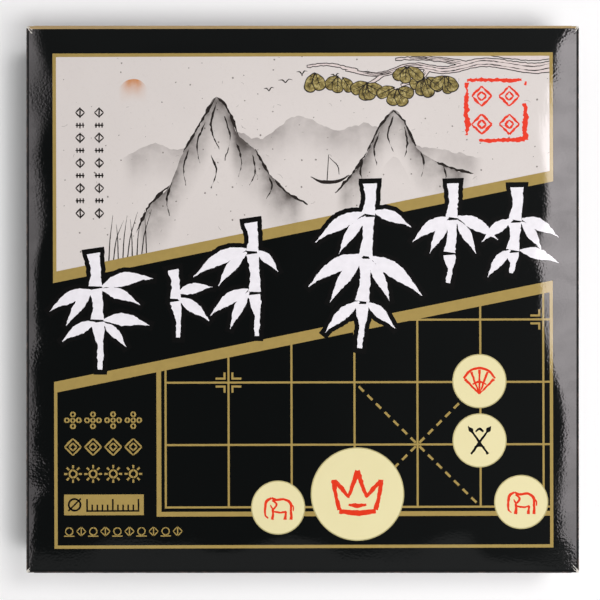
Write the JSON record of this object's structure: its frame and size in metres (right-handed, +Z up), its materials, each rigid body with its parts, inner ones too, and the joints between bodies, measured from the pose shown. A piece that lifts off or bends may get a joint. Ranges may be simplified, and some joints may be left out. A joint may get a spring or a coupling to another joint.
{
  "type": "board game box",
  "caption": "Flat square lift-off lid box for a xiangqi set: folded carton lid and base, formed tray with round wells, folded board and turned wooden pieces.",
  "frame": {"origin": "middle of the box's underside, on the surface that it stands on", "axes": "+Z up through the lid, +X to the right along the front wall, +Y from the front wall to the back wall"},
  "size_m": [0.2, 0.198, 0.039],
  "materials": {
    "lid_carton": "black print under gloss film outside, plain board inside",
    "base_carton": "black print under gloss film outside, plain board inside",
    "tray_sheet": "vacuum-formed sheet, satin",
    "board_sheet": "coated paper, satin",
    "wood_red_marks": "turned, lacquered, marks filled red",
    "wood_black_marks": "turned, lacquered, marks filled black"
  },
  "bodies": {
    "base": {"base": "base_carton", "tray": "tray_sheet", "playing_board": "board_sheet", "red_advisor_1": "wood_red_marks", "red_advisor_2": "wood_red_marks", "red_cannon_1": "wood_red_marks", "red_cannon_2": "wood_red_marks", "red_chariot_1": "wood_red_marks", "red_chariot_2": "wood_red_marks", "red_elephant_1": "wood_red_marks", "red_elephant_2": "wood_red_marks", "red_general": "wood_red_marks", "red_horse_1": "wood_red_marks", "red_horse_2": "wood_red_marks", "red_soldier_1": "wood_red_marks", "red_soldier_2": "wood_red_marks", "red_soldier_3": "wood_red_marks", "red_soldier_4": "wood_red_marks", "red_soldier_5": "wood_red_marks", "black_advisor_1": "wood_black_marks", "black_advisor_2": "wood_black_marks", "black_cannon_1": "wood_black_marks", "black_cannon_2": "wood_black_marks", "black_chariot_1": "wood_black_marks", "black_chariot_2": "wood_black_marks", "black_elephant_1": "wood_black_marks", "black_elephant_2": "wood_black_marks", "black_general": "wood_black_marks", "black_horse_1": "wood_black_marks", "black_horse_2": "wood_black_marks", "black_soldier_1": "wood_black_marks", "black_soldier_2": "wood_black_marks", "black_soldier_3": "wood_black_marks", "black_soldier_4": "wood_black_marks", "black_soldier_5": "wood_black_marks"},
    "lid": {"lid": "lid_carton"}
  },
  "joints": [
    {"name": "lid_lift", "type": "slide", "parent": "base", "child": "lid", "axis": [0, 0, 1], "range_m": [0, 0.12]}
  ]
}
